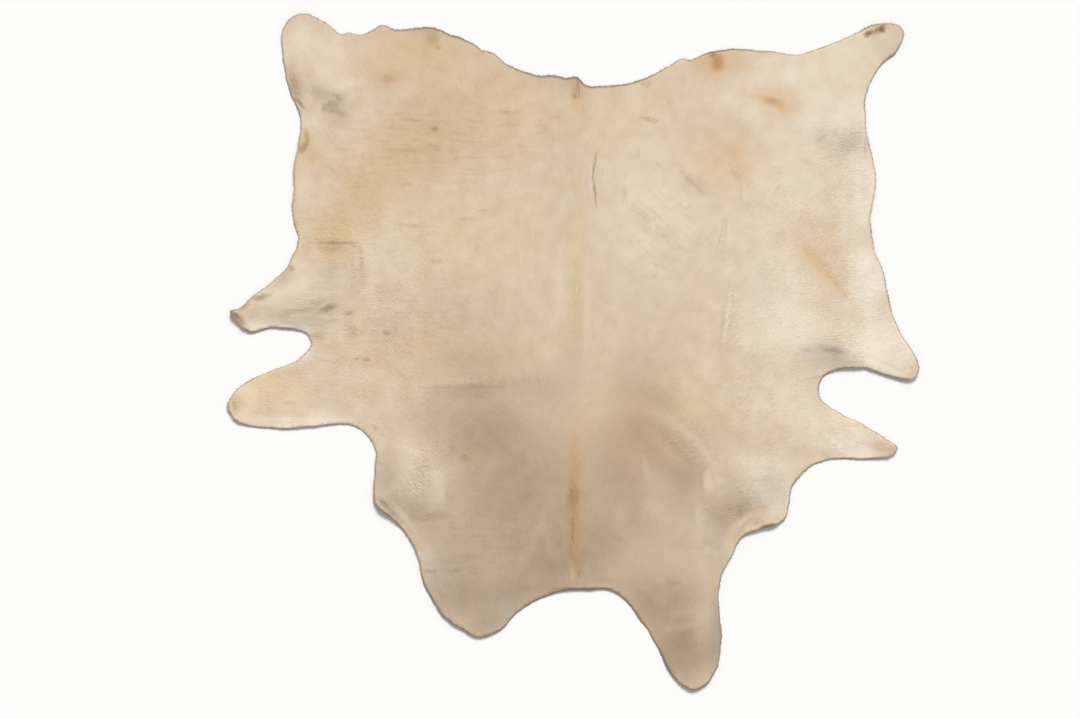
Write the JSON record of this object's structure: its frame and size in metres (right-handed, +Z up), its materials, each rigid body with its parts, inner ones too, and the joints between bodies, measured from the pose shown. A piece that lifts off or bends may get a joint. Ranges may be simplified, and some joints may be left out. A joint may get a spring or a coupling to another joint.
{
  "type": "hair-on cowhide rug",
  "caption": "Whole cream cowhide with its hair on, trimmed round the edge and laid flat, with shank flaps, cheeks, shoulder pouches and soft storage folds.",
  "frame": {"origin": "on the floor, under the middle of the hide's outline", "axes": "+Z up, out of the hair side; +Y along the backbone towards the rump; +X across the hide"},
  "size_m": [2.21, 2.165, 0.0274],
  "materials": {
    "hair_on_leather": "short cream hair, lying flat, over suede-backed leather; nearly matt, with a faint sheen along the hair"
  },
  "bodies": {
    "root": {"hide": "hair_on_leather"}
  },
  "joints": []
}
